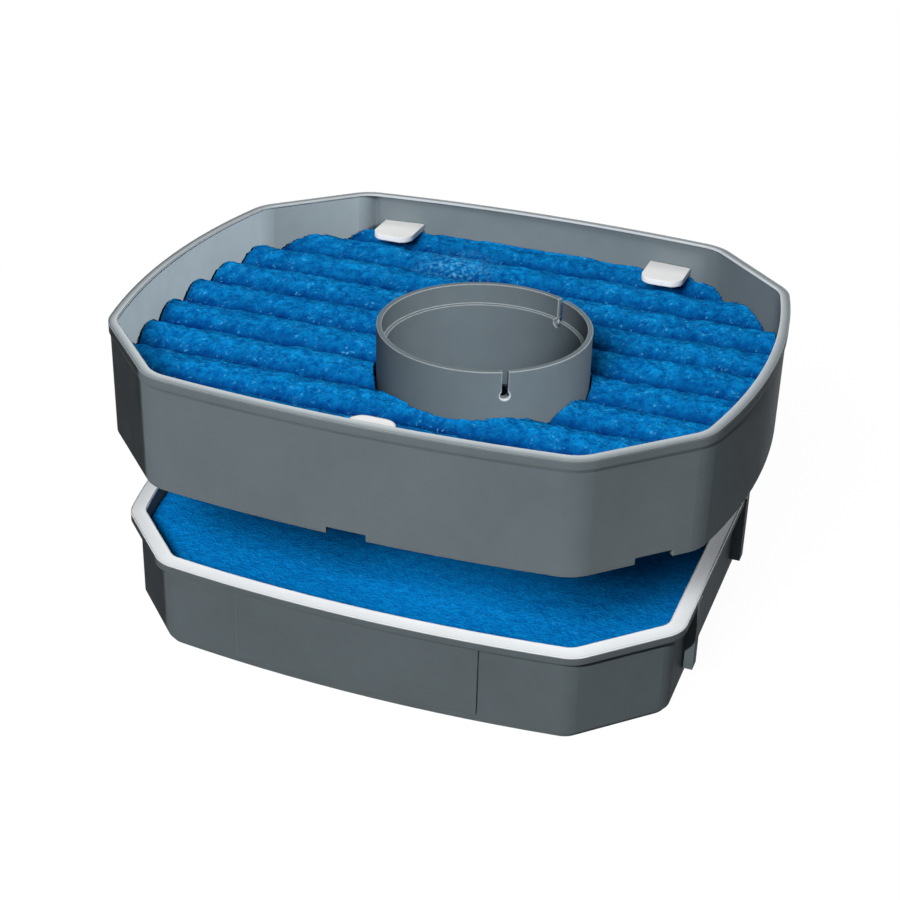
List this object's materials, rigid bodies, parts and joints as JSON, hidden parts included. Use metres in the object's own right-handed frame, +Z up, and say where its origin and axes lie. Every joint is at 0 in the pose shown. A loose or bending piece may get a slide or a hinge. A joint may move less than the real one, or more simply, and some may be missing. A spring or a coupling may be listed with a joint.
{
  "type": "canister filter basket",
  "caption": "Stacked filter basket for a canister filter: an upper tray with ridged coarse foam and a riser collar lifts off a lower tray with fine foam.",
  "frame": {"origin": "on the surface the lower tray stands on, under the middle of both trays", "axes": "+Z up, +X along the trays towards the lower tray's flat end with the guide lugs, -Y towards the front"},
  "size_m": [0.215, 0.185, 0.1047],
  "materials": {
    "tray_plastic": "satin moulded plastic, cool grey",
    "rim_seal": "soft pale grey seal",
    "clip_plastic": "satin pale plastic",
    "coarse_foam": "open-cell foam, ridged, bright blue",
    "fine_foam": "fine-pored foam, flat, blue"
  },
  "bodies": {
    "lower_basket": {"lower_tray": "tray_plastic", "lower_rim_seal": "rim_seal", "fine_foam": "fine_foam"},
    "upper_basket": {"upper_tray": "tray_plastic", "upper_rim_seal": "rim_seal", "collar": "tray_plastic", "coarse_foam": "coarse_foam", "foam_clip_rear_left": "clip_plastic", "foam_clip_rear_right": "clip_plastic", "foam_clip_front": "clip_plastic"}
  },
  "joints": [
    {"name": "upper_tray_lift", "type": "slide", "parent": "lower_basket", "child": "upper_basket", "axis": [0, 0, 1], "range_m": [-0.0347, 0.06]}
  ]
}
